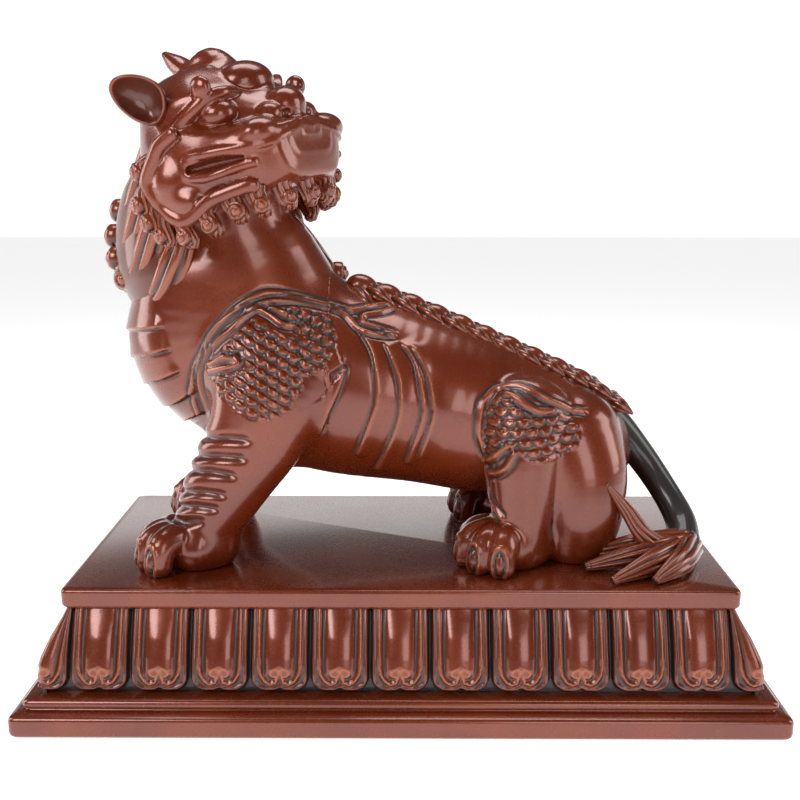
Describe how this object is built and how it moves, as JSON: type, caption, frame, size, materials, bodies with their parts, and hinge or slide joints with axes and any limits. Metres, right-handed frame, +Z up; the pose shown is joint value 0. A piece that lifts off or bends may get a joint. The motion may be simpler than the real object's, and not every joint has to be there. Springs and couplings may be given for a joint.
{
  "type": "diting statue",
  "caption": "Cast copper one-horned guardian beast standing on a lotus plinth, its head turned back over its left shoulder.",
  "frame": {"origin": "centre of the plinth's underside, on the surface that it stands on", "axes": "+Z up, +X along the plinth towards the beast's tail, -Y towards the side it looks to"},
  "size_m": [0.2626, 0.15, 0.2286],
  "materials": {
    "beast_copper": "red-brown patinated cast copper, satin, dark in the recesses and rubbed bright on the ridges",
    "plinth_copper": "red-brown patinated cast copper, satin, dark between the petals"
  },
  "bodies": {
    "root": {"diting": "beast_copper", "plinth": "plinth_copper"}
  },
  "joints": []
}
